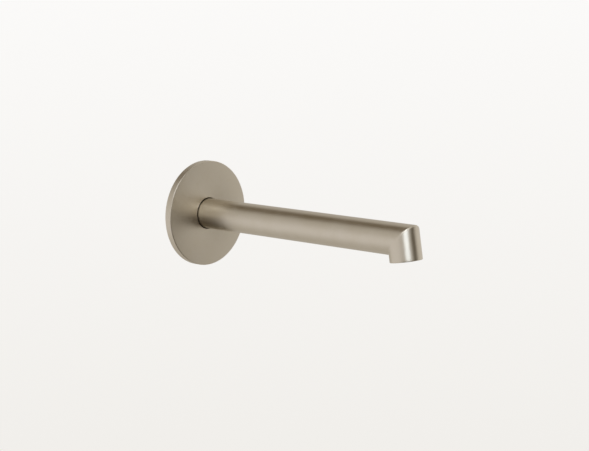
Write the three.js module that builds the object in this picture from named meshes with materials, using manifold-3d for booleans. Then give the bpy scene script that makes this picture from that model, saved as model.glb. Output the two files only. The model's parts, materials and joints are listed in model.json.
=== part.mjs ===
// Wall mounted bath spout: a tube with a mitred outlet head that slides on a threaded wall nipple,
// a round flange that hides the hole in the wall, and an aerator in the outlet.
// Millimetres, +Z up. The tube runs out from the wall along -Y. The origin is on the tube's axis,
// in the plane of the finished wall, so y = 0 is the wall and y = -t is a place t in front of it.
import * as THREE from "three";
import { mergeVertices } from "three/addons/utils/BufferGeometryUtils.js";
import Module from "manifold-3d";

// Driving dimensions, mm and degrees
const GAP = 0.3; // between pieces that touch on the real object

const TUBE_R = 10;
const TUBE_WALL = 1.2;
const TUBE_REAR_T = 0.6; // the tube's rear end in front of the wall
const REACH = 170.5; // wall to the corner, where the axes of tube and outlet meet
const OUTLET_LEAN = 9.4; // the outlet leans outwards from straight down
const OUTLET_DROP = 12.56; // corner to rim, along the outlet's axis
const EDGE = 0.3; // chamfer that breaks a machined edge

const WATER_R = 6; // waterway in the outlet head
const PLUG_LENGTH = 22; // the outlet head's plug inside the tube
const AERATOR_THREAD_R = 7.925; // pitch radius of M16.5 x 1
const AERATOR_SEAT_S = 2; // the gasket's seat, along the outlet's axis from the corner

const SOCKET_R = 7; // bore of the sleeve in the tube's rear end
const SOCKET_LENGTH = 37.4;
const SPIGOT_R = 6.4;
const SPIGOT_END_T = 35.5;
const NIPPLE_BORE_R = 4;
const THREAD_R = 10.48; // G1/2, major radius
const THREAD_ROOT_R = 9.32;
const THREAD_PITCH = 1.814;
const THREAD_TURNS = 6;
const COLLAR_FLATS = 24;
const COLLAR_FRONT_Y = -0.3;
const COLLAR_REAR_Y = 4;
const NIPPLE_END_Y = 18;

const FLANGE_R = 35;
const FLANGE_FRONT_T = 5.3;
const FLANGE_REAR_T = 0.4; // the rim's rear edge stands off the tiles by the gasket's squeeze
const FLANGE_PLATE = 2.3;
const FLANGE_RIM = 2.2;
const FLANGE_HOLE_R = 10.75;
const FLANGE_HUB_R = 14;

const GRUB_T = 14.5; // the grub screw's place along the tube
const GRUB_R = 2.5; // M5
const GRUB_HOLE_R = 2.8;
const GRUB_KEY_FLATS = 2.5;

// Facets around each kind of round piece
const FACETS_LARGE = 64;
const FACETS_TUBE = 48;
const FACETS_SMALL = 32;
const FACETS_TINY = 20;
const O_RING_SIDES = 6;

const degrees = Math.PI / 180;
const corner = new THREE.Vector3(0, -REACH, 0);
const outward = new THREE.Vector3(0, -1, 0);
const down = new THREE.Vector3(0, -Math.sin(OUTLET_LEAN * degrees), -Math.cos(OUTLET_LEAN * degrees));
const mitreNormal = outward.clone().add(down).normalize();

// The outlet's own frame: its +Y runs from the corner down the outlet's axis
const outletFrame = new THREE.Matrix4()
  .makeTranslation(corner)
  .multiply(new THREE.Matrix4().makeRotationX(-(90 + OUTLET_LEAN) * degrees));

// Materials
const metal = (colour, roughness) =>
  new THREE.MeshStandardMaterial({ color: colour, metalness: 1, roughness });
const plain = (colour, roughness) =>
  new THREE.MeshStandardMaterial({ color: colour, metalness: 0, roughness });
const satinNickel = () => metal(0xa89d87, 0.34);
const rawBrass = () => metal(0xc9a45c, 0.42);
const blackRubber = () => plain(0x1c1c1d, 0.8);
const brownFibre = () => plain(0x7a4a34, 0.85);
const whitePlastic = () => plain(0xdedcd6, 0.45);
const steel = () => metal(0x9b9c9e, 0.35);

// Solids: manifold-3d joins and cuts the closed three.js geometries
const wasm = await Module();
wasm.setup();

function solid(geometry) {
  const bare = geometry.clone();
  bare.deleteAttribute("normal");
  bare.deleteAttribute("uv");
  const merged = mergeVertices(bare, 1e-4);
  return new wasm.Manifold(
    new wasm.Mesh({
      numProp: 3,
      vertProperties: new Float32Array(merged.attributes.position.array),
      triVerts: new Uint32Array(merged.index.array),
    }),
  );
}

function geometryOf(manifold) {
  const mesh = manifold.getMesh();
  const geometry = new THREE.BufferGeometry()
    .setAttribute("position", new THREE.BufferAttribute(mesh.vertProperties, 3))
    .setIndex(new THREE.BufferAttribute(mesh.triVerts, 1));
  geometry.computeVertexNormals();
  return geometry;
}

const joined = (...geometries) =>
  geometryOf(geometries.map(solid).reduce((whole, piece) => whole.add(piece)));

const cut = (body, ...tools) =>
  geometryOf(tools.map(solid).reduce((left, tool) => left.subtract(tool), solid(body)));

const common = (a, b) => geometryOf(solid(a).intersect(solid(b)));

// A profile turned about the Y axis, given as [radius, y] pairs: up the outside and down the
// inside. A profile that starts and ends on the axis is solid, any other closes on itself.
function turned(profile, facets) {
  const points = profile.map(([r, y]) => new THREE.Vector2(r, y));
  if (points[0].x > 0) points.push(points[0]);
  return new THREE.LatheGeometry(points, facets);
}

// A plain ring about the Y axis, between two places on it
const ring = (inner, outer, low, high, facets) =>
  turned([[inner, low], [outer, low], [outer, high], [inner, high]], facets);

// A plain disc
const disc = (radius, low, high, facets) => ring(0, radius, low, high, facets);

// A ring of round section, such as an O-ring, about the Y axis
function torus(radius, section, y, facets) {
  return new THREE.TorusGeometry(radius, section, O_RING_SIDES, facets)
    .rotateX(90 * degrees)
    .translate(0, y, 0);
}

// A regular prism about the Y axis, measured across its flats
function prism(sides, flats, low, high) {
  const radius = flats / 2 / Math.cos(Math.PI / sides);
  return new THREE.CylinderGeometry(radius, radius, high - low, sides)
    .translate(0, (low + high) / 2, 0);
}

// Centres of a hexagonal pattern of cells, within a number of rings around the middle one
function honeycomb(rings, pitch) {
  const centres = [];
  for (let q = -rings; q <= rings; q += 1) {
    for (let r = Math.max(-rings, -q - rings); r <= Math.min(rings, rings - q); r += 1) {
      centres.push([pitch * (q + r / 2), (pitch * r * Math.sqrt(3)) / 2]);
    }
  }
  return centres;
}

// Everything on one side of a plane across the mitre, as a large block whose face is
// `offset` in front of the mitre plane
function mitreBlock(offset, inFront) {
  const size = 400;
  const block = new THREE.BoxGeometry(size, size, size);
  const shift = inFront ? offset + size / 2 : offset - size / 2;
  const turn = new THREE.Quaternion().setFromUnitVectors(new THREE.Vector3(0, 1, 0), mitreNormal);
  return block
    .applyQuaternion(turn)
    .translate(...corner.clone().addScaledVector(mitreNormal, shift).toArray());
}

const inOutlet = (geometry) => geometry.applyMatrix4(outletFrame);

// The hole for the grub screw, through the underside of tube and sleeve
const grubHole = () =>
  new THREE.CylinderGeometry(GRUB_HOLE_R, GRUB_HOLE_R, TUBE_R, FACETS_TINY)
    .rotateX(90 * degrees)
    .translate(0, -GRUB_T, -TUBE_R / 2 - SOCKET_R / 2);

const part = new THREE.Group();
const outlet = new THREE.Group();
outlet.applyMatrix4(outletFrame);
part.add(outlet);

function place(parent, name, geometry, material) {
  const mesh = new THREE.Mesh(geometry, material);
  mesh.name = name;
  parent.add(mesh);
}

// Spout tube: from just off the wall to the mitre
function spoutTube() {
  const bore = TUBE_R - TUBE_WALL;
  const end = -REACH - 2 * TUBE_R;
  const tube = turned(
    [
      [bore, -TUBE_REAR_T],
      [bore, end],
      [TUBE_R, end],
      [TUBE_R, -TUBE_REAR_T - EDGE],
      [TUBE_R - EDGE, -TUBE_REAR_T],
    ],
    FACETS_TUBE,
  );
  return cut(common(tube, mitreBlock(-GAP / 2, false)), grubHole());
}

// Outlet head: its outside continues the tube past the mitre and turns down to the rim;
// its plug is brazed into the tube
function spoutNozzle() {
  const plugRadius = TUBE_R - TUBE_WALL - GAP;
  const plugRear = -REACH + PLUG_LENGTH;
  const rim = OUTLET_DROP;
  const outside = inOutlet(
    turned(
      [[0, -TUBE_R], [TUBE_R, -TUBE_R], [TUBE_R, rim - EDGE], [TUBE_R - EDGE, rim], [0, rim]],
      FACETS_TUBE,
    ),
  );
  const head = common(outside, mitreBlock(GAP / 2, true));
  const bar = disc(plugRadius, -REACH - TUBE_R, plugRear, FACETS_TUBE);
  const plug = common(bar, mitreBlock(2 * GAP, false));
  const cavityR = AERATOR_THREAD_R + GAP / 2;
  const drop = inOutlet(disc(WATER_R, 0, AERATOR_SEAT_S + 1, FACETS_SMALL));
  const cavity = inOutlet(
    turned(
      [
        [0, AERATOR_SEAT_S],
        [cavityR, AERATOR_SEAT_S],
        [cavityR, rim - EDGE],
        [cavityR + 2 * EDGE, rim + EDGE],
        [0, rim + EDGE],
      ],
      FACETS_SMALL,
    ),
  );
  const water = disc(WATER_R, -REACH, plugRear + 1, FACETS_SMALL);
  const bend = new THREE.SphereGeometry(WATER_R, FACETS_SMALL, FACETS_TINY)
    .translate(...corner.toArray());
  return cut(joined(head, plug), water, bend, drop, cavity);
}

// Sleeve brazed into the rear of the tube: a smooth bore for the O-rings and an end stop
function tubeEndSocket() {
  const outer = TUBE_R - TUBE_WALL - GAP;
  const rear = -TUBE_REAR_T;
  const front = rear - SOCKET_LENGTH;
  const stop = 1.4;
  const leadIn = 1;
  const sleeve = turned(
    [
      [SOCKET_R + leadIn / 2, rear],
      [SOCKET_R, rear - leadIn],
      [SOCKET_R, front + stop],
      [NIPPLE_BORE_R + 1, front + stop],
      [NIPPLE_BORE_R + 1, front],
      [outer, front],
      [outer, rear],
    ],
    FACETS_SMALL,
  );
  return cut(sleeve, grubHole());
}

// Where the nipple's two O-ring grooves lie, as places in front of the wall
const O_RING_SECTION_R = 0.7;
const O_RING_GROOVE_R = SPIGOT_R - 1.4;
const O_RING_GROOVE = 2 * O_RING_SECTION_R + 2 * GAP;
const O_RING_FRONT_T = 30;
const O_RING_REAR_T = 24;

// Nipple: spigot with grooves, hex collar, relief and thread, bored right through
function wallNipple() {
  const spigotGroove = (t, width, radius) => [
    [SPIGOT_R, -t - width / 2],
    [radius, -t - width / 2],
    [radius, -t + width / 2],
    [SPIGOT_R, -t + width / 2],
  ];
  const relief = THREAD_ROOT_R - GAP;
  const threadStart = NIPPLE_END_Y - EDGE - THREAD_TURNS * THREAD_PITCH;
  const ridges = [];
  for (let turn = 0; turn < THREAD_TURNS; turn += 1) {
    const y = threadStart + turn * THREAD_PITCH;
    ridges.push([THREAD_ROOT_R, y], [THREAD_R, y + THREAD_PITCH / 2]);
  }
  const body = turned(
    [
      [NIPPLE_BORE_R, NIPPLE_END_Y],
      [NIPPLE_BORE_R, -SPIGOT_END_T],
      [SPIGOT_R - 2 * EDGE, -SPIGOT_END_T],
      [SPIGOT_R, -SPIGOT_END_T + 4 * EDGE],
      ...spigotGroove(O_RING_FRONT_T, O_RING_GROOVE, O_RING_GROOVE_R),
      ...spigotGroove(O_RING_REAR_T, O_RING_GROOVE, O_RING_GROOVE_R),
      ...spigotGroove(GRUB_T, 2 * GRUB_R + 2 * GAP, O_RING_GROOVE_R),
      [SPIGOT_R, COLLAR_FRONT_Y + 1],
      [relief, COLLAR_FRONT_Y + 1],
      ...ridges,
      [THREAD_ROOT_R, NIPPLE_END_Y - EDGE],
      [THREAD_ROOT_R - EDGE, NIPPLE_END_Y],
    ],
    FACETS_SMALL,
  );
  const corners = turned(
    [
      [NIPPLE_BORE_R + 1, COLLAR_REAR_Y],
      [NIPPLE_BORE_R + 1, COLLAR_FRONT_Y],
      [COLLAR_FLATS / 2, COLLAR_FRONT_Y],
      [COLLAR_FLATS / 2 + 3 * EDGE, COLLAR_FRONT_Y + 2 * EDGE],
      [COLLAR_FLATS / 2 + 3 * EDGE, COLLAR_REAR_Y - 2 * EDGE],
      [COLLAR_FLATS / 2, COLLAR_REAR_Y],
    ],
    FACETS_SMALL,
  );
  const hex = common(prism(6, COLLAR_FLATS, COLLAR_FRONT_Y, COLLAR_REAR_Y), corners);
  return joined(body, hex);
}

// Fibre washer behind the hex collar
function nippleWasher() {
  const front = COLLAR_REAR_Y + GAP;
  return ring(THREAD_R + GAP, COLLAR_FLATS / 2 + 1.2, front, front + 1.6, FACETS_SMALL);
}

function nippleORing(t) {
  const radius = O_RING_GROOVE_R + GAP + O_RING_SECTION_R;
  return torus(radius, O_RING_SECTION_R, -t, FACETS_SMALL);
}

// The grip ring's groove in the flange's hub
const GRIP_SECTION_R = 0.9;
const GRIP_T = 2.8;
const GRIP_GROOVE_R = TUBE_R + 2 * GRIP_SECTION_R + 2 * GAP;
const GRIP_GROOVE = 2 * GRIP_SECTION_R + 2 * GAP;

// Flange: plate, rim and hub in one dished turning, open at the back
function wallFlange() {
  const front = -FLANGE_FRONT_T;
  const plateRear = front + FLANGE_PLATE;
  const rear = -FLANGE_REAR_T;
  const hubRear = rear - 0.5;
  const lip = 0.35;
  return turned(
    [
      [FLANGE_HOLE_R, hubRear],
      [FLANGE_HOLE_R, -GRIP_T + GRIP_GROOVE / 2],
      [GRIP_GROOVE_R, -GRIP_T + GRIP_GROOVE / 2],
      [GRIP_GROOVE_R, -GRIP_T - GRIP_GROOVE / 2],
      [FLANGE_HOLE_R, -GRIP_T - GRIP_GROOVE / 2],
      [FLANGE_HOLE_R, front + lip],
      [FLANGE_HOLE_R + lip, front],
      [FLANGE_R - 0.5, front],
      [FLANGE_R - 0.15, front + 0.15],
      [FLANGE_R, front + 0.5],
      [FLANGE_R, rear - EDGE],
      [FLANGE_R - EDGE, rear],
      [FLANGE_R - FLANGE_RIM, rear],
      [FLANGE_R - FLANGE_RIM, plateRear],
      [FLANGE_HUB_R, plateRear],
      [FLANGE_HUB_R, hubRear],
    ],
    FACETS_LARGE,
  );
}

// Soft ring inside the rim, its rear face on the tiles
function flangeGasket() {
  const outer = FLANGE_R - FLANGE_RIM - GAP;
  const front = -FLANGE_FRONT_T + FLANGE_PLATE + GAP;
  return ring(outer - 4, outer, front, 0, FACETS_LARGE);
}

function flangeGripRing() {
  return torus(TUBE_R + GAP + GRIP_SECTION_R, GRIP_SECTION_R, -GRIP_T, FACETS_SMALL);
}

// Grub screw and its soft tip, on a radial axis under the tube
const GRUB_OUTER_R = TUBE_R - GAP;
const GRUB_TIP_LENGTH = 1.1;
const GRUB_TIP_R = 1.9;
const GRUB_TIP_INNER_R = O_RING_GROOVE_R + GAP;

const underTube = (geometry) => geometry.rotateX(-90 * degrees).translate(0, -GRUB_T, 0);

function grubScrew() {
  const inner = GRUB_TIP_INNER_R + GRUB_TIP_LENGTH + GAP;
  const screw = turned(
    [
      [0, inner],
      [GRUB_R - EDGE, inner],
      [GRUB_R, inner + EDGE],
      [GRUB_R, GRUB_OUTER_R - EDGE],
      [GRUB_R - EDGE, GRUB_OUTER_R],
      [0, GRUB_OUTER_R],
    ],
    FACETS_TINY,
  );
  const key = prism(6, GRUB_KEY_FLATS, GRUB_OUTER_R - 1.9, GRUB_OUTER_R + 1);
  return underTube(cut(screw, key));
}

function grubScrewTip() {
  const end = GRUB_TIP_INNER_R + GRUB_TIP_LENGTH;
  return underTube(disc(GRUB_TIP_R, GRUB_TIP_INNER_R, end, FACETS_TINY));
}

// Aerator, in the outlet's own frame. The threads of shell and outlet are drawn as plain
// cylinders, half a gap either side of the thread's pitch cylinder.
const SHELL_R = AERATOR_THREAD_R - GAP / 2;
const SHELL_WALL = 1.05;
const SHELL_LIP = 0.6;
const SHELL_BORE_R = SHELL_R - SHELL_WALL;
const SHELL_END_S = OUTLET_DROP - GAP;
const INSERT_R = SHELL_BORE_R - GAP;

// The pieces from the seat down, each a gap below the one before it
const GASKET_THICKNESS = 1.3;
const SCREEN_THICKNESS = 1.1;
const REGULATOR_THICKNESS = 1.4;
const DIFFUSER_THICKNESS = 1;
const MESH_THICKNESS = 0.4;

const STACK = [
  GASKET_THICKNESS,
  SCREEN_THICKNESS,
  REGULATOR_THICKNESS,
  DIFFUSER_THICKNESS,
  MESH_THICKNESS,
  MESH_THICKNESS,
];
const spans = STACK.map((thickness, index) => {
  const first = AERATOR_SEAT_S + GAP;
  const low = STACK.slice(0, index).reduce((place, above) => place + above + GAP, first);
  return [low, low + thickness];
});
const [gasketSpan, screenSpan, regulatorSpan, diffuserSpan, upperMeshSpan, lowerMeshSpan] = spans;
const shellStart = screenSpan[0];
const straightenerSpan = [lowerMeshSpan[1] + GAP, SHELL_END_S - SHELL_LIP - GAP];

const aeratorGasket = () => ring(WATER_R + GAP, SHELL_R, ...gasketSpan, FACETS_SMALL);

// Housing: a cup whose lip holds the stack, with a cross of notches for the aerator key
function aeratorShell() {
  const shell = turned(
    [
      [SHELL_BORE_R, SHELL_END_S - SHELL_LIP],
      [SHELL_BORE_R, shellStart],
      [SHELL_R - EDGE, shellStart],
      [SHELL_R, shellStart + EDGE],
      [SHELL_R, SHELL_END_S - EDGE],
      [SHELL_R - EDGE, SHELL_END_S],
      [SHELL_BORE_R - SHELL_LIP, SHELL_END_S],
      [SHELL_BORE_R - SHELL_LIP, SHELL_END_S - SHELL_LIP],
    ],
    FACETS_SMALL,
  );
  const notchDepth = 0.5;
  const notchWidth = 2;
  const notches = [0, 90].map((angle) =>
    new THREE.BoxGeometry(3 * SHELL_R, 2 * notchDepth, notchWidth)
      .rotateY(angle * degrees)
      .translate(0, SHELL_END_S, 0),
  );
  return cut(shell, ...notches);
}

// Straight holes along Y through a piece that lies between two places on it
const holes = (centres, sides, flats, [low, high]) =>
  centres.map(([x, z]) => prism(sides, flats, low - 1, high + 1).translate(x, 0, z));

// A disc with a pattern of holes through it
const perforated = (span, centres, sides, flats) =>
  cut(disc(INSERT_R, ...span, FACETS_TINY), ...holes(centres, sides, flats, span));

// Strainer: a shallow cup, open downwards, with holes in its top
function inletScreen() {
  const [top, bottom] = screenSpan;
  const sheet = 0.5;
  const shoulder = 1;
  const cup = turned(
    [
      [0, top],
      [INSERT_R - shoulder, top],
      [INSERT_R, bottom - sheet],
      [INSERT_R, bottom],
      [INSERT_R - sheet, bottom],
      [INSERT_R - shoulder - sheet / 2, top + sheet],
      [0, top + sheet],
    ],
    FACETS_TINY,
  );
  return cut(cup, ...holes(honeycomb(1, 3), 6, 2, screenSpan));
}

const REGULATOR_RING_R = 3.7;
const REGULATOR_SECTION_R = 0.5;

// Places evenly round a circle about the Y axis
const around = (count, radius) =>
  Array.from({ length: count }, (_, index) => {
    const angle = (index * 2 * Math.PI) / count;
    return [radius * Math.cos(angle), radius * Math.sin(angle)];
  });

// Disc with a channel for the regulating ring, and ports through the channel's floor
function flowRegulator() {
  const [top, bottom] = regulatorSpan;
  const side = REGULATOR_SECTION_R + GAP;
  const channel = ring(
    REGULATOR_RING_R - side,
    REGULATOR_RING_R + side,
    top - 1,
    bottom - GAP,
    FACETS_TINY,
  );
  const ports = holes(around(6, REGULATOR_RING_R), 4, 0.8, regulatorSpan);
  return cut(disc(INSERT_R, top, bottom, FACETS_TINY), channel, ...ports);
}

function regulatorRing() {
  const middle = regulatorSpan[1] - 2 * GAP - REGULATOR_SECTION_R;
  return torus(REGULATOR_RING_R, REGULATOR_SECTION_R, middle, FACETS_TINY);
}

// Holes of the diffuser, the meshes and the straightener: pitch or circle, and width across flats
const JETS = 12;
const JET_CIRCLE_R = 4.6;
const JET = 0.8;
const MESH_PITCH = 2.2;
const MESH_HOLE = 1.3;
const CELL_PITCH = 2.3;
const CELL = 1.9;

const aeratorDiffuser = () => perforated(diffuserSpan, around(JETS, JET_CIRCLE_R), 4, JET);
const aeratorMesh = (span) => perforated(span, honeycomb(2, MESH_PITCH), 4, MESH_HOLE);
const flowStraightener = () => perforated(straightenerSpan, honeycomb(2, CELL_PITCH), 6, CELL);

place(part, "spout_tube", spoutTube(), satinNickel());
place(part, "spout_nozzle", spoutNozzle(), satinNickel());
place(part, "tube_end_socket", tubeEndSocket(), rawBrass());
place(part, "wall_nipple", wallNipple(), rawBrass());
place(part, "nipple_o_ring_front", nippleORing(O_RING_FRONT_T), blackRubber());
place(part, "nipple_o_ring_rear", nippleORing(O_RING_REAR_T), blackRubber());
place(part, "nipple_washer", nippleWasher(), brownFibre());
place(part, "wall_flange", wallFlange(), satinNickel());
place(part, "flange_gasket", flangeGasket(), blackRubber());
place(part, "flange_grip_ring", flangeGripRing(), blackRubber());
place(part, "grub_screw", grubScrew(), steel());
place(part, "grub_screw_tip", grubScrewTip(), whitePlastic());

place(outlet, "aerator_gasket", aeratorGasket(), blackRubber());
place(outlet, "aerator_shell", aeratorShell(), satinNickel());
place(outlet, "aerator_inlet_screen", inletScreen(), whitePlastic());
place(outlet, "flow_regulator", flowRegulator(), whitePlastic());
place(outlet, "regulator_ring", regulatorRing(), blackRubber());
place(outlet, "aerator_diffuser", aeratorDiffuser(), whitePlastic());
place(outlet, "aerator_mesh_upper", aeratorMesh(upperMeshSpan), steel());
place(outlet, "aerator_mesh_lower", aeratorMesh(lowerMeshSpan), steel());
place(outlet, "flow_straightener", flowStraightener(), whitePlastic());

export default part;
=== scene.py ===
"""Looks of a wall mounted bath spout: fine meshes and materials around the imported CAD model.

Meshes are worked out in millimetres and turned into Blender's metres when they are made. The tube
runs out from the wall along -Y, and the wall's face is the plane y = 0. A place s in the outlet is
its distance along the outlet's axis from the corner where that axis meets the tube's.
"""

import json
from math import cos, hypot, pi, radians, sin, sqrt, tan

import bmesh
import bpy
from mathutils import Matrix, Vector


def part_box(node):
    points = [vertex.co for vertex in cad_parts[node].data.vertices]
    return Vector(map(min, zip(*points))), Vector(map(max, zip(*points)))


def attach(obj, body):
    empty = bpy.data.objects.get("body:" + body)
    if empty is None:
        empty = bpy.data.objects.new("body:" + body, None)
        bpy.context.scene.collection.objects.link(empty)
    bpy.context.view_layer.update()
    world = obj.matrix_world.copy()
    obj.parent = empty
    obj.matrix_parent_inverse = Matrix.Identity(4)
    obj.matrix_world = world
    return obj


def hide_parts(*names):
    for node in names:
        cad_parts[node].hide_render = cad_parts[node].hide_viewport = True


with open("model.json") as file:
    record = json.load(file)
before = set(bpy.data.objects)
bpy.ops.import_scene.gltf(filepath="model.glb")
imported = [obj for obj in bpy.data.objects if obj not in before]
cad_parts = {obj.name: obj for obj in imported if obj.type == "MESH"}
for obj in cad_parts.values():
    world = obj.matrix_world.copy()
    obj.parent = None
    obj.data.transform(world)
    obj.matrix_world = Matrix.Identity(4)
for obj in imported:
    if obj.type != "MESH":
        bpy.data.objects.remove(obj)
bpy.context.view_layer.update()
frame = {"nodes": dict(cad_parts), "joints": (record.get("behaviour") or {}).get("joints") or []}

MM = 0.001  # metres in a millimetre

# The camera: its direction from its aim in degrees, its distance, aim and lens in millimetres, and how far
# it sees in metres
CAMERA_AZIMUTH = -48.01
CAMERA_ELEVATION = 8.93
CAMERA_DISTANCE = 958.5
CAMERA_AIM = Vector((0, -82.7, -0.3))
CAMERA_LENS = 92.2
CAMERA_FAR = 1000

# The floor, in metres. Its painted glow, with painted shade darker close by, goes by the steepness FLOOR_FALL
# / (distance + FLOOR_NEAR).
FLOOR_HEIGHT = -0.5
FLOOR_HALF = 150
FLOOR_FALL = 0.65
FLOOR_NEAR = 0.95

# Painted glow of floor and far background: its colour at the horizon, and how much painted shade darkens it
# for each unit of steepness
FAR_COLOUR = (0.966, 0.957, 0.945)
PAINTED_SHADE = (0.29, 0.32, 0.385)
LEAST_RUN = 0.2  # keeps the background's steepness finite straight down

# The studio round the spout: what it reflects. Each zone of walls, lamps and dark screens is
# (azimuth, half width, lowest, highest, softness, colour), in degrees. Later ones lie over earlier ones.
STUDIO_BASE = (0.51, 0.484, 0.443)
STUDIO_ZONES = [
    (-122, 50, -42, 14, 22, (0.71, 0.69, 0.68)),  # bright wall, left and behind
    (80, 30, -25, 40, 18, (0.70, 0.68, 0.645)),  # bright wall, right
    (182, 24, 34, 90, 16, (0.12, 0.086, 0.045)),  # dark ceiling behind
    (-30, 50, -90, -14, 16, (0.05, 0.034, 0.018)),  # dark floor in front
    (17, 9, -90, 30, 14, (0.06, 0.043, 0.018)),  # dark screen in front
    (-68, 25, 38, 66, 12, (2.6, 2.8, 3.1)),  # lamp overhead, to the left
]

# A small lamp near the outlet: direction from the outlet, distance and size in metres, colour and level
LAMP_AZIMUTH = -36
LAMP_ELEVATION = 8
LAMP_DISTANCE = 0.25
LAMP_WIDTH = 0.145
LAMP_HEIGHT = 0.12
LAMP_COLOUR = (0.83, 0.97, 1.16)
LAMP_LEVEL = 1.4

# How finely round things are drawn
AROUND_LARGE = 256
AROUND_NIPPLE = 192
AROUND_MEDIUM = 128
AROUND_SCREW = 96
AROUND_SMALL = 64
AROUND_CORD = 20
AROUND_WIRE = 6
ROUND_STEPS = 6
BEND_STEPS = 14
CHAMFER_STEPS = 10
ROWS_PER_TURN = 14
STEPS_PER_WIRE = 4
SHARP_ANGLE = 32  # degrees
ON_AXIS = 1e-6

# Rounding of edges
EDGE = 0.3
FINE_EDGE = 0.12
OUTER_CORNER = 1.3  # buffed corner at the top of the mitre
INNER_CORNER = 0.55  # braze fillet under the mitre
WATER_CORNER = 2.5

# Sizes that the CAD model shares
TUBE_WALL = 1.2
BRAZE_GAP = 0.3
WATER_R = 6
SEAT_S = 2
RIM_S = 12.56
PLUG_LENGTH = 22
SOCKET_R = 7
SOCKET_STOP = 1.4
NIPPLE_BORE_R = 4
SPIGOT_R = 6.4
GRUB_T = 14.5
GRUB_HOLE_R = 2.65

# Threads: pitch, radii of root and crest, and how they end
SUPPLY_PITCH = 1.814
SUPPLY_ROOT_R = 9.32
SUPPLY_CREST_R = 10.48
AERATOR_PITCH = 1
AERATOR_ROOT_R = 7.6
AERATOR_CREST_R = 8.13
AERATOR_CLEARANCE = 0.1
GRUB_PITCH = 0.8
THREAD_FADE = 0.6  # turns over which a thread rises from its plain end
THREAD_STEP = 0.05  # from the end of a plain stretch to a thread's first row
INSIDE_OFFSET = 0.5  # turns

# The aerator: its housing, seal, meshes and honeycomb
SHELL_BORE_R = 6.725
SHELL_START_S = 3.9
SHELL_END_S = 12.26
INSERT_R = 6.425
SEAL_INNER_R = 6.3
SEAL_OUTER_R = 7.6
SEAL_START_S = 2.3
SEAL_END_S = 3.6
NOTCH_HALF = 1
NOTCH_DEPTH = 0.5
NOTCH_REACH = 12
MESH_UPPER_S = 8.5
MESH_LOWER_S = 9.2
MESH_PITCH = 0.62
MESH_REACH = 6.1
WIRE_R = 0.1
WIRE_LIFT = 0.09
HONEYCOMB_START_S = 9.7
HONEYCOMB_END_S = 11.36
CELL_PITCH = 1.72
CELL_R = 0.86
CELL_REACH = 5.2
CELL_RINGS = 3

# Rubber rings of round section
O_RING_SECTION_R = 0.7
GRIP_CLEARANCE = 0.02

# Shaders: the values between which most of a noise lies, and indices of refraction
NOISE_LOW = 0.3
NOISE_HIGH = 0.7
USUAL_IOR = 1.5
ACETAL_IOR = 1.48


def box_mm(node):
    """Lowest and highest corner of a CAD node, in millimetres."""
    low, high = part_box(node)
    return low / MM, high / MM


def joint(name):
    """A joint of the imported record, by name."""
    return next(found for found in frame["joints"] if found["name"] == name)


tube_high = box_mm("spout_tube")[1]
TUBE_R = tube_high.x
TUBE_REAR_Y = tube_high.y

# The outlet's own frame: the corner where the two axes meet, its +Y down the outlet's axis
corner = Vector(joint("aerator_turn")["pos_m"]) / MM
outward = Vector((0, -1, 0))
downward = Vector(joint("aerator_turn")["axis"]).normalized()
outlet_turn = Vector((0, 1, 0)).rotation_difference(downward).to_matrix().to_4x4()
outlet_frame = Matrix.Translation(corner) @ outlet_turn
bend_angle = outward.angle(downward)
mitre_slope = tan(bend_angle / 2)  # how far the mitre runs along the tube for each step across it


# ---------------------------------------------------------------- outlines and rings of points


def rounded(corners, closed=True):
    """Points of an outline in a plane, its corners rounded; each is (radius, y) or (radius, y, rounding)."""
    points = []
    count = len(corners)
    for index, entry in enumerate(corners):
        here = Vector(entry[:2])
        rounding = entry[2] if len(entry) > 2 else 0
        at_end = not closed and index in (0, count - 1)
        if at_end or not rounding:
            points.append(here)
            continue
        back = (Vector(corners[index - 1][:2]) - here).normalized()
        ahead = (Vector(corners[(index + 1) % count][:2]) - here).normalized()
        half = back.angle(ahead) / 2
        inward = (back + ahead).normalized()
        centre = here + inward * rounding / sin(half)
        aside = (back - ahead).normalized()
        for step in range(ROUND_STEPS + 1):
            turn = (pi / 2 - half) * (1 - 2 * step / ROUND_STEPS)
            points.append(centre + rounding * (aside * sin(turn) - inward * cos(turn)))
    return points


def ring(radius, y, around):
    """Points round the Y axis. The radius may be a function of the angle."""
    points = []
    for index in range(around):
        angle = 2 * pi * index / around
        r = radius(angle) if callable(radius) else radius
        points.append(Vector((r * cos(angle), y, r * sin(angle))))
    return points


def rings(outline, around):
    """Rings for each point of an outline; a point on the axis stays one point."""
    made = []
    for radius, y in outline:
        on_axis = not callable(radius) and abs(radius) < ON_AXIS
        made.append([Vector((0, y, 0))] if on_axis else ring(radius, y, around))
    return made


def ridge(phase):
    """Height of a thread, from 0 at its root to 1 at its crest, over one turn."""
    rise = abs(2 * (phase % 1) - 1)
    return rise * rise * (3 - 2 * rise)


def thread(start, end, plain, cut_to, pitch, offset=0.0):
    """Outline points of a right-hand thread along the Y axis that fades to a plain cylinder at both ends.

    The offset is in turns. An inside thread has its plain radius outside and is half a turn on, so that
    it fits round an outside thread of the same pitch.
    """
    count = round(abs(end - start) / pitch * ROWS_PER_TURN)
    points = []
    for index in range(count + 1):
        y = start + (end - start) * index / count
        from_end = min(abs(y - start), abs(end - y)) / (pitch * THREAD_FADE)
        fade = min(1, from_end)

        def radius(angle, y=y, fade=fade):
            return plain + (cut_to - plain) * fade * ridge(y / pitch + angle / (2 * pi) + offset)

        points.append((radius, y))
    return points


# ---------------------------------------------------------------- meshes


def new_object(name, made):
    """An object from a bmesh in millimetres: smooth, with its real edges sharp."""
    bmesh.ops.scale(made, vec=(MM, MM, MM), verts=made.verts)
    bmesh.ops.recalc_face_normals(made, faces=made.faces)
    data = bpy.data.meshes.new(name)
    made.to_mesh(data)
    made.free()
    data.shade_smooth()
    data.set_sharp_from_angle(angle=radians(SHARP_ANGLE))
    piece = bpy.data.objects.new(name, data)
    bpy.context.scene.collection.objects.link(piece)
    return piece


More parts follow.
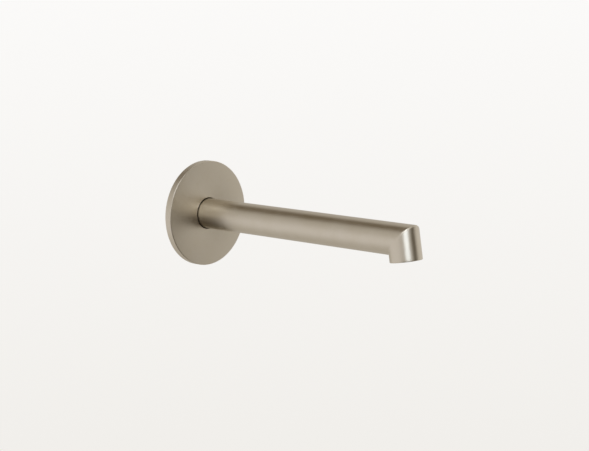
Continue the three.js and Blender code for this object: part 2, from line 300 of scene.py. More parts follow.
def add_skin(made, rows, closed=True):
    """Faces over rings of points. The last ring joins the first, unless the skin isn't closed."""
    verts = [[made.verts.new(point) for point in row] for row in rows]
    pairs = list(zip(verts, verts[1:]))
    if closed:
        pairs.append((verts[-1], verts[0]))
    for low, high in pairs:
        count = max(len(low), len(high))
        for index in range(count):
            after = (index + 1) % count
            quad = [
                low[index % len(low)],
                low[after % len(low)],
                high[after % len(high)],
                high[index % len(high)],
            ]
            made.faces.new(list(dict.fromkeys(quad)))


def skinned(name, rows, closed=True):
    """A piece from rings of points."""
    made = bmesh.new()
    add_skin(made, rows, closed)
    return new_object(name, made)


def placed(rows, matrix):
    """Rings of points, moved."""
    return [[matrix @ point for point in row] for row in rows]


def turned(name, outline, around, matrix=None):
    """A piece turned about the Y axis from a closed outline, or one that starts and ends on the axis."""
    rows = rings(outline, around)
    closed = len(rows[0]) > 1
    return skinned(name, placed(rows, matrix) if matrix else rows, closed)


def cut(piece, cutter):
    """Cuts one piece's solid out of another and removes the cutter."""
    modifier = piece.modifiers.new("cut", "BOOLEAN")
    modifier.operation = "DIFFERENCE"
    modifier.solver = "EXACT"
    modifier.object = cutter
    bpy.context.view_layer.update()
    graph = bpy.context.evaluated_depsgraph_get()
    data = bpy.data.meshes.new_from_object(piece.evaluated_get(graph))
    piece.modifiers.clear()
    piece.data = data
    data.shade_smooth()
    data.set_sharp_from_angle(angle=radians(SHARP_ANGLE))
    bpy.data.objects.remove(cutter)


def hands_over(piece, body, slot, material, *nodes):
    """Puts a piece on its body, in place of its CAD nodes, with its finish."""
    piece.data.materials.clear()
    piece.data.materials.append(material)
    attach(piece, body)
    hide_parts(*nodes)


# ---------------------------------------------------------------- nodes and shaders


def math_node(nodes, links, operation, *values):
    """A math node on sockets or numbers."""
    node = nodes.new("ShaderNodeMath")
    node.operation = operation
    for socket, value in zip(node.inputs, values):
        if isinstance(value, (int, float)):
            socket.default_value = value
        else:
            links.new(value, socket)
    return node.outputs[0]


def vector_node(nodes, links, operation, first, *constants):
    """A vector math node on a socket and constant vectors, which gives a vector or a number."""
    node = nodes.new("ShaderNodeVectorMath")
    node.operation = operation
    links.new(first, node.inputs[0])
    for socket, value in zip(node.inputs[1:], constants):
        socket.default_value = value
    gives_number = operation in ("LENGTH", "DOT_PRODUCT")
    return node.outputs["Value" if gives_number else "Vector"]


class Shader:
    """A material's nodes, added one call at a time. Coordinates are the object's own, in metres."""

    def __init__(self, name, **constants):
        self.material = bpy.data.materials.new(name)
        self.material.use_nodes = True
        self.nodes = self.material.node_tree.nodes
        self.links = self.material.node_tree.links
        self.surface = self.nodes["Principled BSDF"]
        for socket, value in constants.items():
            self.surface.inputs[socket].default_value = value
        self.place = self.nodes.new("ShaderNodeTexCoord").outputs["Object"]

    def noise(self, size_mm, detail, stretch=(1, 1, 1), distortion=0.0, place=None):
        """Noise whose lumps are about this size, drawn out along an axis by its stretch."""
        spread = self.nodes.new("ShaderNodeMapping")
        spread.inputs["Scale"].default_value = [1 / s for s in stretch]
        self.links.new(place or self.place, spread.inputs["Vector"])
        lumps = self.nodes.new("ShaderNodeTexNoise")
        lumps.inputs["Scale"].default_value = 1 / (size_mm * MM)
        lumps.inputs["Detail"].default_value = detail
        lumps.inputs["Distortion"].default_value = distortion
        self.links.new(spread.outputs["Vector"], lumps.inputs["Vector"])
        return lumps.outputs["Fac"]

    def about_y(self):
        """The place as (distance from the Y axis, y, 0), for lines left by turning on a lathe."""
        parts = self.nodes.new("ShaderNodeSeparateXYZ")
        self.links.new(self.place, parts.inputs[0])
        across = self.nodes.new("ShaderNodeCombineXYZ")
        self.links.new(parts.outputs["X"], across.inputs["X"])
        self.links.new(parts.outputs["Z"], across.inputs["Y"])
        length = vector_node(self.nodes, self.links, "LENGTH", across.outputs[0])
        place = self.nodes.new("ShaderNodeCombineXYZ")
        self.links.new(length, place.inputs["X"])
        self.links.new(parts.outputs["Y"], place.inputs["Y"])
        return place.outputs[0]

    def ranged(self, value, low, high):
        """A noise spread from low to high."""
        spread = self.nodes.new("ShaderNodeMapRange")
        spread.inputs["From Min"].default_value = NOISE_LOW
        spread.inputs["From Max"].default_value = NOISE_HIGH
        spread.inputs["To Min"].default_value = low
        spread.inputs["To Max"].default_value = high
        self.links.new(value, spread.inputs["Value"])
        return spread.outputs["Result"]

    def tint(self, value, dark, light, start=NOISE_LOW, end=NOISE_HIGH):
        """A colour between two, as the value goes from start to end."""
        ramp = self.nodes.new("ShaderNodeValToRGB")
        ramp.color_ramp.elements[0].position = start
        ramp.color_ramp.elements[1].position = end
        ramp.color_ramp.elements[0].color = (*dark, 1)
        ramp.color_ramp.elements[1].color = (*light, 1)
        self.links.new(value, ramp.inputs["Fac"])
        return ramp.outputs["Color"]

    def average(self, first, second, share):
        """Two values mixed, with this share of the second."""
        mix = self.nodes.new("ShaderNodeMix")
        mix.inputs["Factor"].default_value = share
        self.links.new(first, mix.inputs["A"])
        self.links.new(second, mix.inputs["B"])
        return mix.outputs["Result"]

    def colour(self, socket):
        """Gives the surface its colour."""
        self.links.new(socket, self.surface.inputs["Base Color"])

    def roughness(self, socket):
        """Gives the surface its roughness."""
        self.links.new(socket, self.surface.inputs["Roughness"])

    def relief(self, socket, height_mm):
        """Bump of this height, over any bump there already is."""
        bump = self.nodes.new("ShaderNodeBump")
        bump.inputs["Distance"].default_value = height_mm * MM
        self.links.new(socket, bump.inputs["Height"])
        under = self.surface.inputs["Normal"].links
        if under:
            self.links.new(under[0].from_socket, bump.inputs["Normal"])
        self.links.new(bump.outputs["Normal"], self.surface.inputs["Normal"])


def satin_nickel(name, smoothest, roughest):
    """Warm nickel plate with a fine satin grain, turned lines and faint handling marks."""
    shader = Shader(name, Metallic=1.0, IOR=USUAL_IOR)
    cloud = shader.noise(9, detail=3)
    grain = shader.noise(0.12, detail=2)
    lines = shader.noise(0.16, detail=3, place=shader.about_y())
    marks = shader.noise(2.2, detail=6, distortion=0.8)
    shades = shader.average(cloud, marks, 0.3)
    shader.colour(shader.tint(shades, dark=(0.695, 0.63, 0.52), light=(0.735, 0.675, 0.575)))
    smooth = shader.average(shader.average(cloud, marks, 0.5), lines, 0.3)
    shader.roughness(shader.ranged(smooth, smoothest, roughest))
    shader.relief(lines, 0.0012)
    shader.relief(grain, 0.0012)
    return shader.material


def turned_brass():
    """Uncoated brass off the lathe: fine turning lines, brown tarnish in patches."""
    shader = Shader("turned_brass", Metallic=1.0, IOR=USUAL_IOR)
    patches = shader.noise(3.5, detail=6, distortion=0.5)
    lines = shader.noise(0.25, detail=2, place=shader.about_y())
    shader.colour(shader.tint(patches, dark=(0.46, 0.3, 0.12), light=(0.74, 0.56, 0.27), start=0.25, end=0.6))
    shader.roughness(shader.ranged(shader.average(patches, lines, 0.4), 0.46, 0.26))
    shader.relief(lines, 0.006)
    return shader.material


def black_rubber():
    """Moulded nitrile rubber: nearly black, matt, with a faint bloom."""
    shader = Shader("black_rubber", IOR=USUAL_IOR)
    bloom = shader.noise(2.5, detail=5)
    pores = shader.noise(0.18, detail=2)
    shader.colour(shader.tint(bloom, dark=(0.012, 0.012, 0.013), light=(0.03, 0.029, 0.028)))
    shader.roughness(shader.ranged(bloom, 0.55, 0.8))
    shader.relief(pores, 0.008)
    return shader.material


def brown_fibre():
    """Vulcanised fibre: pressed sheet with short fibres that lie flat."""
    shader = Shader("brown_fibre", IOR=USUAL_IOR)
    fibres = shader.noise(0.5, detail=5, stretch=(4, 0.5, 1), distortion=1.2)
    patches = shader.noise(4, detail=3)
    shades = shader.average(fibres, patches, 0.4)
    shader.colour(shader.tint(shades, dark=(0.12, 0.04, 0.022), light=(0.26, 0.105, 0.055)))
    shader.roughness(shader.ranged(fibres, 0.6, 0.85))
    shader.relief(fibres, 0.02)
    return shader.material


def stainless_steel():
    """Bright stainless steel with a fine drawn grain."""
    shader = Shader("stainless_steel", Metallic=1.0, IOR=USUAL_IOR)
    drawn = shader.noise(0.12, detail=3, stretch=(1, 6, 1))
    patches = shader.noise(1.5, detail=4)
    shader.colour(shader.tint(patches, dark=(0.5, 0.5, 0.49), light=(0.62, 0.62, 0.61)))
    shader.roughness(shader.ranged(shader.average(drawn, patches, 0.4), 0.2, 0.36))
    shader.relief(drawn, 0.004)
    return shader.material


def white_plastic():
    """Moulded acetal: off-white, slightly glossy, faint flow marks and limescale."""
    shader = Shader("white_plastic", IOR=ACETAL_IOR)
    scale = shader.noise(1.6, detail=6, distortion=0.6)
    skin = shader.noise(0.25, detail=2)
    shader.colour(shader.tint(scale, dark=(0.62, 0.6, 0.55), light=(0.8, 0.79, 0.76)))
    shader.roughness(shader.ranged(scale, 0.32, 0.55))
    shader.relief(skin, 0.006)
    return shader.material


# ---------------------------------------------------------------- spout: tube and outlet head


def corner_rounding(angle):
    """Rounding of the mitre at this place round the tube, from its inner to its outer corner."""
    share = (1 + sin(angle)) / 2
    return INNER_CORNER + (OUTER_CORNER - INNER_CORNER) * share


def along_tube(radius, y):
    """A ring of the tube's side, square to its axis."""
    return ring(radius, y, AROUND_LARGE)


def along_outlet(radius, s):
    """The matching ring of the outlet's side, at a place along its axis. The mitre mirrors the angle."""
    points = []
    for index in range(AROUND_LARGE):
        angle = -2 * pi * index / AROUND_LARGE
        r = radius(angle) if callable(radius) else radius
        points.append(outlet_frame @ Vector((r * cos(angle), s, r * sin(angle))))
    return points


def at_mitre(radius, share, rounding=None):
    """The ring at a share of the way round the bend, from the tube's side, 0, to the outlet's, 1."""
    inward = Vector((0, 0, -1))
    turn = bend_angle * share
    points = []
    for index in range(AROUND_LARGE):
        angle = 2 * pi * index / AROUND_LARGE
        across = radius * cos(angle)
        up = radius * sin(angle)
        sharp = Vector((across, corner.y - up * mitre_slope, up))
        curve = corner_rounding(angle) if rounding is None else rounding
        centre = sharp - outward * curve * mitre_slope + inward * curve
        points.append(centre + curve * (outward * sin(turn) - inward * cos(turn)))
    return points


def bend(radius, start, end, rounding=None):
    """Rings round part of the bend."""
    steps = [start + (end - start) * index / BEND_STEPS for index in range(BEND_STEPS + 1)]
    return [at_mitre(radius, share, rounding) for share in steps]


def spout_tube(material):
    """Tube from the wall to the mitre, with the grub screw's hole under it."""
    bore = TUBE_R - TUBE_WALL
    straight_y = TUBE_REAR_Y - 3
    rear = rounded(
        [
            (bore, straight_y),
            (bore, TUBE_REAR_Y, FINE_EDGE),
            (TUBE_R, TUBE_REAR_Y, EDGE),
            (TUBE_R, straight_y),
        ],
        closed=False,
    )
    rows = [along_tube(r, y) for r, y in rear]
    rows += bend(TUBE_R, 0, 0.5)
    rows.append(at_mitre(bore, 0.5, 0))
    piece = skinned("tube", rows)
    cut(piece, grub_hole("tube_cutter"))
    hands_over(piece, "spout", "satin_nickel", material, "spout_tube")


def grub_hole(name):
    """A plug through the underside of tube and socket, to be cut out."""
    inner = SOCKET_R - 3
    outer = TUBE_R + 2
    outline = [(0, inner), (GRUB_HOLE_R, inner), (GRUB_HOLE_R, outer), (0, outer)]
    return turned(name, outline, AROUND_SMALL, under_tube())


def under_tube():
    """Turns +Y down to -Z, at the grub screw's place along the tube."""
    return Matrix.Translation((0, -GRUB_T, 0)) @ Matrix.Rotation(radians(-90), 4, "X")


def outlet_head(material):
    """Mitred outlet head: outside, rim, threaded cavity, seat, waterway and the plug inside the tube."""
    cavity = AERATOR_CREST_R + AERATOR_CLEARANCE
    root = AERATOR_ROOT_R + AERATOR_CLEARANCE
    straight = 2
    rim_edge = 0.4
    rim = rounded(
        [
            (TUBE_R, RIM_S - straight),
            (TUBE_R, RIM_S, rim_edge),
            (cavity + EDGE, RIM_S, FINE_EDGE),
            (cavity, RIM_S - EDGE),
        ],
        closed=False,
    )
    undercut_s = SEAT_S + 1.2
    thread_end_s = SEAT_S + 1.6
    inside = thread(RIM_S - 2 * EDGE, thread_end_s, cavity, root, AERATOR_PITCH, INSIDE_OFFSET)
    seat = rounded(
        [
            (cavity, undercut_s),
            (cavity, SEAT_S, FINE_EDGE),
            (WATER_R, SEAT_S, EDGE),
            (WATER_R, SEAT_S - 1),  # only guides the rounding, and is left out below
        ],
        closed=False,
    )
    plug = TUBE_R - TUBE_WALL - BRAZE_GAP
    plug_rear = corner.y + PLUG_LENGTH
    end = rounded(
        [
            (WATER_R, plug_rear - straight),
            (WATER_R, plug_rear, EDGE),
            (plug, plug_rear, EDGE),
            (plug, plug_rear - straight),
        ],
        closed=False,
    )
    rows = bend(TUBE_R, 0.5, 1)
    rows += [along_outlet(r, s) for r, s in rim + inside + seat[:-1]]
    rows += bend(WATER_R, 1, 0, WATER_CORNER)
    rows += [along_tube(r, y) for r, y in end]
    rows.append(at_mitre(plug, 0.5, 0))
    piece = skinned("outlet_head", rows)
    hands_over(piece, "spout", "satin_nickel", material, "spout_nozzle")


def socket_sleeve(material):
    """Brass sleeve in the tube's rear end, bored for the nipple's spigot, with a lead-in and an end stop."""
    low, high = box_mm("tube_end_socket")
    lead = 1
    stop_y = low.y + SOCKET_STOP
    stop_bore = NIPPLE_BORE_R + 1
    outline = rounded(
        [
            (SOCKET_R + lead / 2, high.y, FINE_EDGE),
            (SOCKET_R, high.y - lead, EDGE),
            (SOCKET_R, stop_y),
            (stop_bore, stop_y, EDGE),
            (stop_bore, low.y, EDGE),
            (high.x, low.y, EDGE),
            (high.x, high.y, FINE_EDGE),
        ]
    )
    piece = turned("socket_sleeve", outline, AROUND_MEDIUM)
    cut(piece, grub_hole("socket_cutter"))
    hands_over(piece, "spout", "turned_brass", material, "tube_end_socket")


# ---------------------------------------------------------------- nipple, its seals and the grub screw


def hexagon(flats, corners):
    """Radius of a hexagon at an angle, its corners turned down to a circle."""

    def radius(angle):
        side = (angle + pi / 6) % (pi / 3) - pi / 6
        return min(flats / 2 / cos(side), corners)

    return radius


def hex_collar(flats, front, rear):
    """Outline of a hex collar whose corners are chamfered at both faces."""
    depth = 1.0
    turned_down = 0.15
    inner = flats / 2
    rise = inner / cos(pi / 6) - turned_down - inner
    shares = [index / CHAMFER_STEPS for index in range(CHAMFER_STEPS + 1)]
    points = [(hexagon(flats, inner + rise * share), front + depth * share) for share in shares]
    points += [(hexagon(flats, inner + rise * share), rear - depth * share) for share in reversed(shares)]
    return points


def groove(t, width, floor_r):
    """A square groove in the spigot, at a place in front of the wall."""
    front = -t - width / 2
    rear = -t + width / 2
    return [(SPIGOT_R, front), (floor_r, front), (floor_r, rear), (SPIGOT_R, rear)]


def ring_place(node):
    """The middle of an O-ring along the tube, in front of the wall."""
    low, high = box_mm(node)
    return -(low.y + high.y) / 2


def wall_nipple(material):
    """G1/2 nipple: spigot with O-ring grooves, hex collar, relief and a real helical thread."""
    low, high = box_mm("wall_nipple")
    tip = low.y
    rear = high.y
    lead = 0.6
    chamfer = 0.4
    groove_r = SPIGOT_R - 1.4
    groove_width = 2.0
    grub_groove_width = 5.6
    flare = 0.4
    flare_length = 1
    hex_flats = 24
    collar_front = -0.3
    collar_rear = 4
    relief = SUPPLY_ROOT_R - EDGE
    thread_turns = 6
    thread_start = rear - EDGE - thread_turns * SUPPLY_PITCH
    thread_end = rear - chamfer
    outline = [(SPIGOT_R - lead, tip), (SPIGOT_R, tip + 2 * lead)]
    outline += groove(ring_place("nipple_o_ring_front"), groove_width, groove_r)
    outline += groove(ring_place("nipple_o_ring_rear"), groove_width, groove_r)
    outline += groove(GRUB_T, grub_groove_width, groove_r)
    outline += [(SPIGOT_R, collar_front - flare_length), (SPIGOT_R + flare, collar_front)]
    outline += hex_collar(hex_flats, collar_front, collar_rear)
    outline += [(relief, collar_rear), (relief, thread_start)]
    outline += thread(
        thread_start + THREAD_STEP, thread_end - THREAD_STEP, SUPPLY_ROOT_R, SUPPLY_CREST_R, SUPPLY_PITCH
    )
    outline += [(relief, rear), (NIPPLE_BORE_R + chamfer, rear), (NIPPLE_BORE_R, rear - chamfer)]
    outline += [(NIPPLE_BORE_R, tip + chamfer), (NIPPLE_BORE_R + chamfer, tip)]
    piece = turned("nipple", outline, AROUND_NIPPLE)
    hands_over(piece, "spout", "turned_brass", material, "wall_nipple")


def washer(material):
    """Fibre washer behind the collar, its edges slightly crushed round."""
    low, high = box_mm("nipple_washer")
    bore = SUPPLY_CREST_R + EDGE
    bore_edge = 0.2
    crushed_edge = 0.35
    outline = rounded(
        [
            (bore, low.y, bore_edge),
            (high.x, low.y, crushed_edge),
            (high.x, high.y, crushed_edge),
            (bore, high.y, bore_edge),
        ]
    )
    piece = turned("fibre_washer", outline, AROUND_MEDIUM)
    hands_over(piece, "spout", "brown_fibre", material, "nipple_washer")


def o_ring(name, node, body, section_r, material):
    """An O-ring of round section, its outside where its CAD node's is."""
    middle = -ring_place(node)
    centre = box_mm(node)[1].x - section_r
    outline = []
    for index in range(AROUND_CORD):
        angle = 2 * pi * index / AROUND_CORD
        outline.append((centre + section_r * cos(angle), middle + section_r * sin(angle)))
    piece = turned(name, outline, AROUND_MEDIUM)
    hands_over(piece, body, "black_rubber", material, node)


def grub_screw(material):
    """Hex socket grub screw with an M5 thread, under the tube."""
    low, high = box_mm("grub_screw")
    inner = -high.z
    outer = -low.z
    crest = high.x
    root = crest - 0.4
    chamfer = 0.3
    bevel = 0.2
    bevel_depth = 0.02
    key_flats = 2.5
    key = hexagon(key_flats, crest)
    key_mouth = 1.62
    key_chamfer = 0.15
    key_depth = 1.7
    drill_depth = 2
    outline = [(0, inner), (root - chamfer, inner), (root, inner + chamfer)]
    outline += thread(inner + chamfer + THREAD_STEP, outer - chamfer, root, crest, GRUB_PITCH)
    outline += [(root - bevel, outer - bevel_depth), (root - chamfer, outer)]
    outline += [(key_mouth, outer), (key, outer - key_chamfer)]
    outline += [(key, outer - key_depth), (0, outer - drill_depth)]
    piece = turned("hex_grub_screw", outline, AROUND_SCREW, under_tube())
    hands_over(piece, "grub", "stainless_steel", material, "grub_screw")


def grub_tip(material):
    """Soft tip between the grub screw and the spigot."""
    low, high = box_mm("grub_screw_tip")
    inner = -high.z
    outer = -low.z
    edge = 0.25
    outline = rounded([(0, inner), (high.x, inner, edge), (high.x, outer, edge), (0, outer)], closed=False)
    piece = turned("soft_tip", outline, AROUND_SMALL, under_tube())
    hands_over(piece, "grub_tip", "white_plastic", material, "grub_screw_tip")


# ---------------------------------------------------------------- flange


def wall_flange(material):
    """Dished flange: flat face with softened edges, rim, and the hub with the grip ring's groove."""
    low, high = box_mm("wall_flange")
    front = low.y
    rear = high.y
    hole = TUBE_R + 0.55
    plate_rear = front + 2.3
    inside_rim = high.x - 2.2
    hub = 14
    hub_rear = rear - 0.5
    grip_r = TUBE_R + 2.4
    grip_half = 1.2
    grip_front = -ring_place("flange_grip_ring") - grip_half
    grip_rear = -ring_place("flange_grip_ring") + grip_half
    edge = 0.25
    face_edge = 0.5
    fillet = 0.6
    outline = rounded(
        [
            (hole, hub_rear, FINE_EDGE),
            (hole, grip_rear, FINE_EDGE),
            (grip_r, grip_rear, FINE_EDGE),
            (grip_r, grip_front, FINE_EDGE),
            (hole, grip_front, FINE_EDGE),
            (hole, front, edge),
            (high.x, front, face_edge),
            (high.x, rear, edge),
            (inside_rim, rear, edge),
            (inside_rim, plate_rear, fillet),
            (hub, plate_rear, fillet),
            (hub, hub_rear, edge),
        ]
    )
    piece = turned("flange", outline, AROUND_LARGE)
    hands_over(piece, "flange", "satin_nickel", material, "wall_flange")


def flange_gasket(material):
    """Soft ring inside the rim, with two lips that touch the tiles."""
    low, high = box_mm("flange_gasket")
    outer = high.x
    inner = high.x - 4
    lip = 1.2
    lip_foot = 1.6
    dip_y = high.y - 0.7
    edge = 0.3
    lip_edge = 0.5
    outline = rounded(
        [
            (inner, low.y, edge),
            (outer, low.y, edge),
            (outer, high.y, lip_edge),
            (outer - lip, high.y, edge),
            (outer - lip_foot, dip_y, edge),
            (inner + lip_foot, dip_y, edge),
            (inner + lip, high.y, edge),
            (inner, high.y, lip_edge),
        ]
    )
    piece = turned("flange_seal", outline, AROUND_LARGE)
    hands_over(piece, "flange", "black_rubber", material, "flange_gasket")


# ---------------------------------------------------------------- aerator, in the outlet's own frame


def outlet_turned(angle):
    """The outlet's frame, turned about its own axis by an angle in degrees."""
    return outlet_frame @ Matrix.Rotation(radians(angle), 4, "Y")


def aerator_gasket(material):
    """Flat seal on the outlet's seat."""
    edge = 0.2
    outline = rounded(
        [
            (SEAL_INNER_R, SEAL_START_S, edge),
            (SEAL_OUTER_R, SEAL_START_S, edge),
            (SEAL_OUTER_R, SEAL_END_S, edge),
            (SEAL_INNER_R, SEAL_END_S, edge),
        ]
    )
    piece = turned("aerator_seal_ring", outline, AROUND_MEDIUM, outlet_frame)
    hands_over(piece, "aerator_seal", "black_rubber", material, "aerator_gasket")


def aerator_shell(material):
    """Housing with a helical outside thread, and a cross of key notches in its face."""
    lip = 0.6
    mouth = SHELL_BORE_R - lip
    lip_s = SHELL_END_S - lip
    plain_s = SHELL_END_S - 0.8
    thread_start_s = SHELL_START_S + 0.4
    thread_end_s = plain_s - THREAD_STEP
    lip_slope = 0.1
    face_edge = 0.35
    mouth_edge = 0.2
    outline = [
        (mouth, lip_s),
        (SHELL_BORE_R, lip_s - lip_slope),
        (SHELL_BORE_R, SHELL_START_S + EDGE),
        (SHELL_BORE_R + EDGE, SHELL_START_S),
        (AERATOR_ROOT_R - EDGE, SHELL_START_S),
        (AERATOR_ROOT_R, SHELL_START_S + EDGE),
    ]
    outline += thread(thread_start_s, thread_end_s, AERATOR_ROOT_R, AERATOR_CREST_R, AERATOR_PITCH)
    face = rounded(
        [
            (AERATOR_ROOT_R, plain_s),
            (AERATOR_ROOT_R, SHELL_END_S, face_edge),
            (mouth, SHELL_END_S, mouth_edge),
            (mouth, lip_s),
        ],
        closed=False,
    )
    outline += face[:-1]
    piece = turned("aerator_housing", outline, AROUND_MEDIUM, outlet_frame)
    for name, angle in (("notch_a", 0), ("notch_b", 90)):
        cut(piece, key_notch(name, angle))
    hands_over(piece, "aerator", "satin_nickel", material, "aerator_shell")


def key_notch(name, angle):
    """A bar with round edges across the housing's face, to be cut out."""
    edge = 0.2
    side = rounded(
        [
            (-NOTCH_HALF, -NOTCH_DEPTH, edge),
            (NOTCH_HALF, -NOTCH_DEPTH, edge),
            (NOTCH_HALF, NOTCH_DEPTH),
            (-NOTCH_HALF, NOTCH_DEPTH),
        ]
    )
    rows = [[Vector((-NOTCH_REACH, 0, 0))]]
    rows += [[Vector((x, -y, z)) for z, y in side] for x in (-NOTCH_REACH, NOTCH_REACH)]
    rows.append([Vector((NOTCH_REACH, 0, 0))])
    matrix = outlet_turned(angle) @ Matrix.Translation((0, SHELL_END_S, 0))
    return skinned(name, placed(rows, matrix), closed=False)


def hex_cells():
    """Middles of the honeycomb's cells, as (x, z)."""
    cells = []
    for q in range(-CELL_RINGS, CELL_RINGS + 1):
        for r in range(max(-CELL_RINGS, -q - CELL_RINGS), min(CELL_RINGS, CELL_RINGS - q) + 1):
            x = CELL_PITCH * (q + r / 2)
            z = CELL_PITCH * r * sqrt(3) / 2
            if hypot(x, z) < CELL_REACH:
                cells.append((x, z))
    return cells


def cell_cutter(name, low, high):
    """Hexagonal prisms through the honeycomb, joined in one cutter."""
    turns = [2 * pi * (index + 0.5) / 6 for index in range(6)]
    made = bmesh.new()
    for x, z in hex_cells():
        rows = [[Vector((x, low, z))]]
        for y in (low, high):
            rows.append([Vector((x + CELL_R * cos(turn), y, z + CELL_R * sin(turn))) for turn in turns])
        rows.append([Vector((x, high, z))])
        add_skin(made, placed(rows, outlet_frame), closed=False)
    return new_object(name, made)


def flow_straightener(material):
    """Honeycomb at the outlet, with a fine wall between its cells."""
    edge = 0.2
    margin = 1
    outline = rounded(
        [
            (0, HONEYCOMB_START_S),
            (INSERT_R, HONEYCOMB_START_S, edge),
            (INSERT_R, HONEYCOMB_END_S, edge),
            (0, HONEYCOMB_END_S),
        ],
        closed=False,
    )
    piece = turned("honeycomb", outline, AROUND_MEDIUM, outlet_frame)
    cut(piece, cell_cutter("cells_cutter", HONEYCOMB_START_S - margin, HONEYCOMB_END_S + margin))
    hands_over(piece, "aerator", "white_plastic", material, "flow_straightener")


def wire(made, offset, across, middle, lift_sign, matrix):
    """One wire of a woven mesh, over and under the wires that cross it."""
    half = sqrt((INSERT_R - WIRE_R) ** 2 - offset ** 2)
    steps = round(2 * half / (MESH_PITCH / STEPS_PER_WIRE))
    rows = []
    for index in range(steps + 1):
        along = -half + 2 * half * index / steps
        height = middle + lift_sign * WIRE_LIFT * cos(pi * along / MESH_PITCH)
        points = []
        for side in range(AROUND_WIRE):
            turn = 2 * pi * side / AROUND_WIRE
            aside = offset + WIRE_R * cos(turn)
            up = height + WIRE_R * sin(turn)
            points.append(Vector((along, up, aside)) if across else Vector((aside, up, along)))
        rows.append(points)
    first = [sum(rows[0], Vector()) / AROUND_WIRE]
    last = [sum(rows[-1], Vector()) / AROUND_WIRE]
    add_skin(made, placed([first, *rows, last], matrix), closed=False)


def woven_mesh(name, node, middle, angle, material):
    """A disc of woven steel wire."""
    matrix = outlet_turned(angle)
    made = bmesh.new()
    count = int(MESH_REACH / MESH_PITCH)
    for index in range(-count, count + 1):
        sign = 1 if index % 2 else -1
        wire(made, index * MESH_PITCH, True, middle, sign, matrix)
        wire(made, index * MESH_PITCH, False, middle, -sign, matrix)
    piece = new_object(name, made)
    hands_over(piece, "aerator", "stainless_steel", material, node)


# ---------------------------------------------------------------- camera, floor and light


def direction(azimuth, elevation):
    """From the object towards a place round it. Azimuth 0 is where the spout points, and 90 is +X."""
    a = radians(azimuth)
    e = radians(elevation)
    return Vector((sin(a) * cos(e), -cos(a) * cos(e), sin(e)))


def add_looking(name, data, place, back):
    """A camera or lamp at a place in metres, looking against this direction."""
    piece = bpy.data.objects.new(name, data)
    piece.location = place
    piece.rotation_mode = "QUATERNION"
    piece.rotation_quaternion = (-back).to_track_quat("-Z", "Y")
    bpy.context.scene.collection.objects.link(piece)
    return piece


def camera():
    """The camera, a little above the spout and to its left."""
    data = bpy.data.cameras.new("camera")
    data.lens = CAMERA_LENS
    data.clip_end = CAMERA_FAR
    back = direction(CAMERA_AZIMUTH, CAMERA_ELEVATION)
    place = (CAMERA_AIM + back * CAMERA_DISTANCE) * MM
    bpy.context.scene.camera = add_looking("camera", data, place, back)


def lamp():
    """The small lamp beside the outlet. It lights up the outlet's side more than the flange."""
    data = bpy.data.lights.new("lamp", "AREA")
    data.shape = "RECTANGLE"
    data.size = LAMP_WIDTH
    data.size_y = LAMP_HEIGHT
    data.color = LAMP_COLOUR
    data.energy = LAMP_LEVEL * pi * LAMP_WIDTH * LAMP_HEIGHT
    back = direction(LAMP_AZIMUTH, LAMP_ELEVATION)
    place = corner * MM + back * LAMP_DISTANCE
    piece = add_looking("lamp", data, place, back)
    piece.visible_camera = False


def pale(nodes, links, steepness):
    """The background's painted colour by how steeply it is looked down on: painted shade makes it darker the
    steeper it is.
    """
    return vector_node(nodes, links, "MULTIPLY_ADD", steepness, [-value for value in PAINTED_SHADE], FAR_COLOUR)


def pale_floor():
    """The floor's material: painted light, as it glows, with painted shade that makes it a little darker
    close by than far off.
    """
    material = bpy.data.materials.new("pale_floor")
    material.use_nodes = True
    nodes = material.node_tree.nodes
    links = material.node_tree.links
    nodes.clear()
    place = nodes.new("ShaderNodeTexCoord").outputs["Object"]
    distance = vector_node(nodes, links, "LENGTH", place)
    beyond = math_node(nodes, links, "ADD", distance, FLOOR_NEAR)
    steepness = math_node(nodes, links, "DIVIDE", FLOOR_FALL, beyond)
    # painted light and painted shade: the floor glows, and is darker close by
    glow = nodes.new("ShaderNodeEmission")
    links.new(pale(nodes, links, steepness), glow.inputs["Color"])
    out = nodes.new("ShaderNodeOutputMaterial")
    links.new(glow.outputs[0], out.inputs["Surface"])
    return material


def floor():
    """A wide pale floor far below the spout, which only the camera sees. Its glow and its darker near part
    are painted light and painted shade.
    """
    made = bmesh.new()
    corners = []
    for x, y in ((-1, -1), (1, -1), (1, 1), (-1, 1)):
        corners.append(made.verts.new((x * FLOOR_HALF, y * FLOOR_HALF, FLOOR_HEIGHT)))
    made.faces.new(corners)
    data = bpy.data.meshes.new("floor")
    made.to_mesh(data)
    made.free()
    data.materials.append(pale_floor())
    piece = bpy.data.objects.new("floor", data)
    bpy.context.scene.collection.objects.link(piece)
    for ray in ("visible_diffuse", "visible_glossy", "visible_transmission", "visible_shadow"):
        setattr(piece, ray, False)


def soft_step(nodes, links, value, start, end):
    """A share that rises smoothly from 0 to 1 as the value goes from start to end."""
    step = nodes.new("ShaderNodeMapRange")
    step.interpolation_type = "SMOOTHSTEP"
    step.inputs["From Min"].default_value = start
    step.inputs["From Max"].default_value = end
    links.new(value, step.inputs["Value"])
    return step.outputs["Result"]


def soft_edge(nodes, links, height, elevation, softness):
    """A share that is 1 above an elevation, or below it where the softness is negative."""
    start = sin(radians(elevation - softness))
    end = sin(radians(elevation + softness))
    return soft_step(nodes, links, height, start, end)


def zone_share(nodes, links, heading, height, azimuth, half, lowest, highest, softness):
    """How much of a studio zone there is in a direction, from 0 to 1."""
    facing = vector_node(nodes, links, "DOT_PRODUCT", heading, direction(azimuth, 0))
    outside = cos(radians(half + softness))
    inside = cos(radians(max(0, half - softness)))
    share = soft_step(nodes, links, facing, outside, inside)
    if lowest > -90:
        above = soft_edge(nodes, links, height, lowest, softness)
        share = math_node(nodes, links, "MULTIPLY", share, above)
    if highest < 90:
        below = soft_edge(nodes, links, height, highest, -softness)
        share = math_node(nodes, links, "MULTIPLY", share, below)
    return share


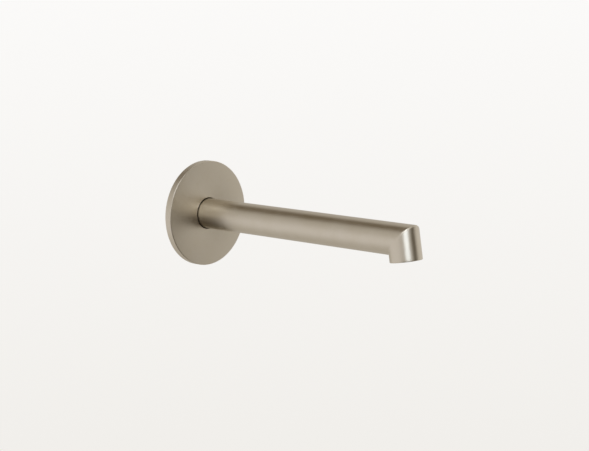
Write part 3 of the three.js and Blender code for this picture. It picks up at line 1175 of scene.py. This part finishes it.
def mixed(nodes, links, share, under, over):
    """Two colours mixed by a share. Each is a socket or a constant."""
    mix = nodes.new("ShaderNodeMix")
    mix.data_type = "RGBA"
    links.new(share, mix.inputs["Factor"])
    for name, colour in (("A", under), ("B", over)):
        if isinstance(colour, tuple):
            mix.inputs[name].default_value = (*colour, 1)
        else:
            links.new(colour, mix.inputs[name])
    return mix.outputs["Result"]


def studio():
    """The world: soft light zones for everything the metal reflects, the pale background for the camera."""
    world = bpy.data.worlds.new("studio")
    world.use_nodes = True
    bpy.context.scene.world = world
    nodes = world.node_tree.nodes
    links = world.node_tree.links
    nodes.clear()
    towards = nodes.new("ShaderNodeTexCoord").outputs["Generated"]
    parts = nodes.new("ShaderNodeSeparateXYZ")
    links.new(towards, parts.inputs[0])
    height = parts.outputs["Z"]
    level = vector_node(nodes, links, "MULTIPLY", towards, (1, 1, 0))
    heading = vector_node(nodes, links, "NORMALIZE", level)
    light = STUDIO_BASE
    for *zone, colour in STUDIO_ZONES:
        share = zone_share(nodes, links, heading, height, *zone)
        light = mixed(nodes, links, share, light, colour)
    fall = math_node(nodes, links, "MAXIMUM", math_node(nodes, links, "MULTIPLY", height, -1), 0)
    run = math_node(nodes, links, "MAXIMUM", vector_node(nodes, links, "LENGTH", level), LEAST_RUN)
    steepness = math_node(nodes, links, "DIVIDE", fall, run)
    # the camera sees the same painted glow and painted shade as on the floor
    seen = nodes.new("ShaderNodeLightPath").outputs["Is Camera Ray"]
    background = nodes.new("ShaderNodeBackground")
    links.new(mixed(nodes, links, seen, light, pale(nodes, links, steepness)), background.inputs["Color"])
    out = nodes.new("ShaderNodeOutputWorld")
    links.new(background.outputs[0], out.inputs["Surface"])
    bpy.context.scene.view_settings.view_transform = "Standard"


# ---------------------------------------------------------------- the whole spout

nickel = satin_nickel("satin_nickel", smoothest=0.27, roughest=0.37)
flange_nickel = satin_nickel("satin_nickel_flange", smoothest=0.34, roughest=0.44)
brass = turned_brass()
rubber = black_rubber()
fibre = brown_fibre()
steel = stainless_steel()
plastic = white_plastic()

spout_tube(nickel)
outlet_head(nickel)
socket_sleeve(brass)
wall_nipple(brass)
washer(fibre)
o_ring("o_ring_front", "nipple_o_ring_front", "spout", O_RING_SECTION_R, rubber)
o_ring("o_ring_rear", "nipple_o_ring_rear", "spout", O_RING_SECTION_R, rubber)
grip_section_r = (box_mm("flange_grip_ring")[1].x - TUBE_R) / 2 - GRIP_CLEARANCE
o_ring("grip_ring", "flange_grip_ring", "flange_carrier", grip_section_r, rubber)
grub_screw(steel)
grub_tip(plastic)
wall_flange(flange_nickel)
flange_gasket(rubber)
aerator_gasket(rubber)
aerator_shell(nickel)
flow_straightener(plastic)
woven_mesh("wire_mesh_upper", "aerator_mesh_upper", MESH_UPPER_S, 0, steel)
woven_mesh("wire_mesh_lower", "aerator_mesh_lower", MESH_LOWER_S, 45, steel)

for node, material in (
    ("aerator_inlet_screen", plastic),
    ("flow_regulator", plastic),
    ("regulator_ring", rubber),
    ("aerator_diffuser", plastic),
):
    mesh = frame["nodes"][node].data
    mesh.materials.clear()
    mesh.materials.append(material)

camera()
floor()
studio()
lamp()
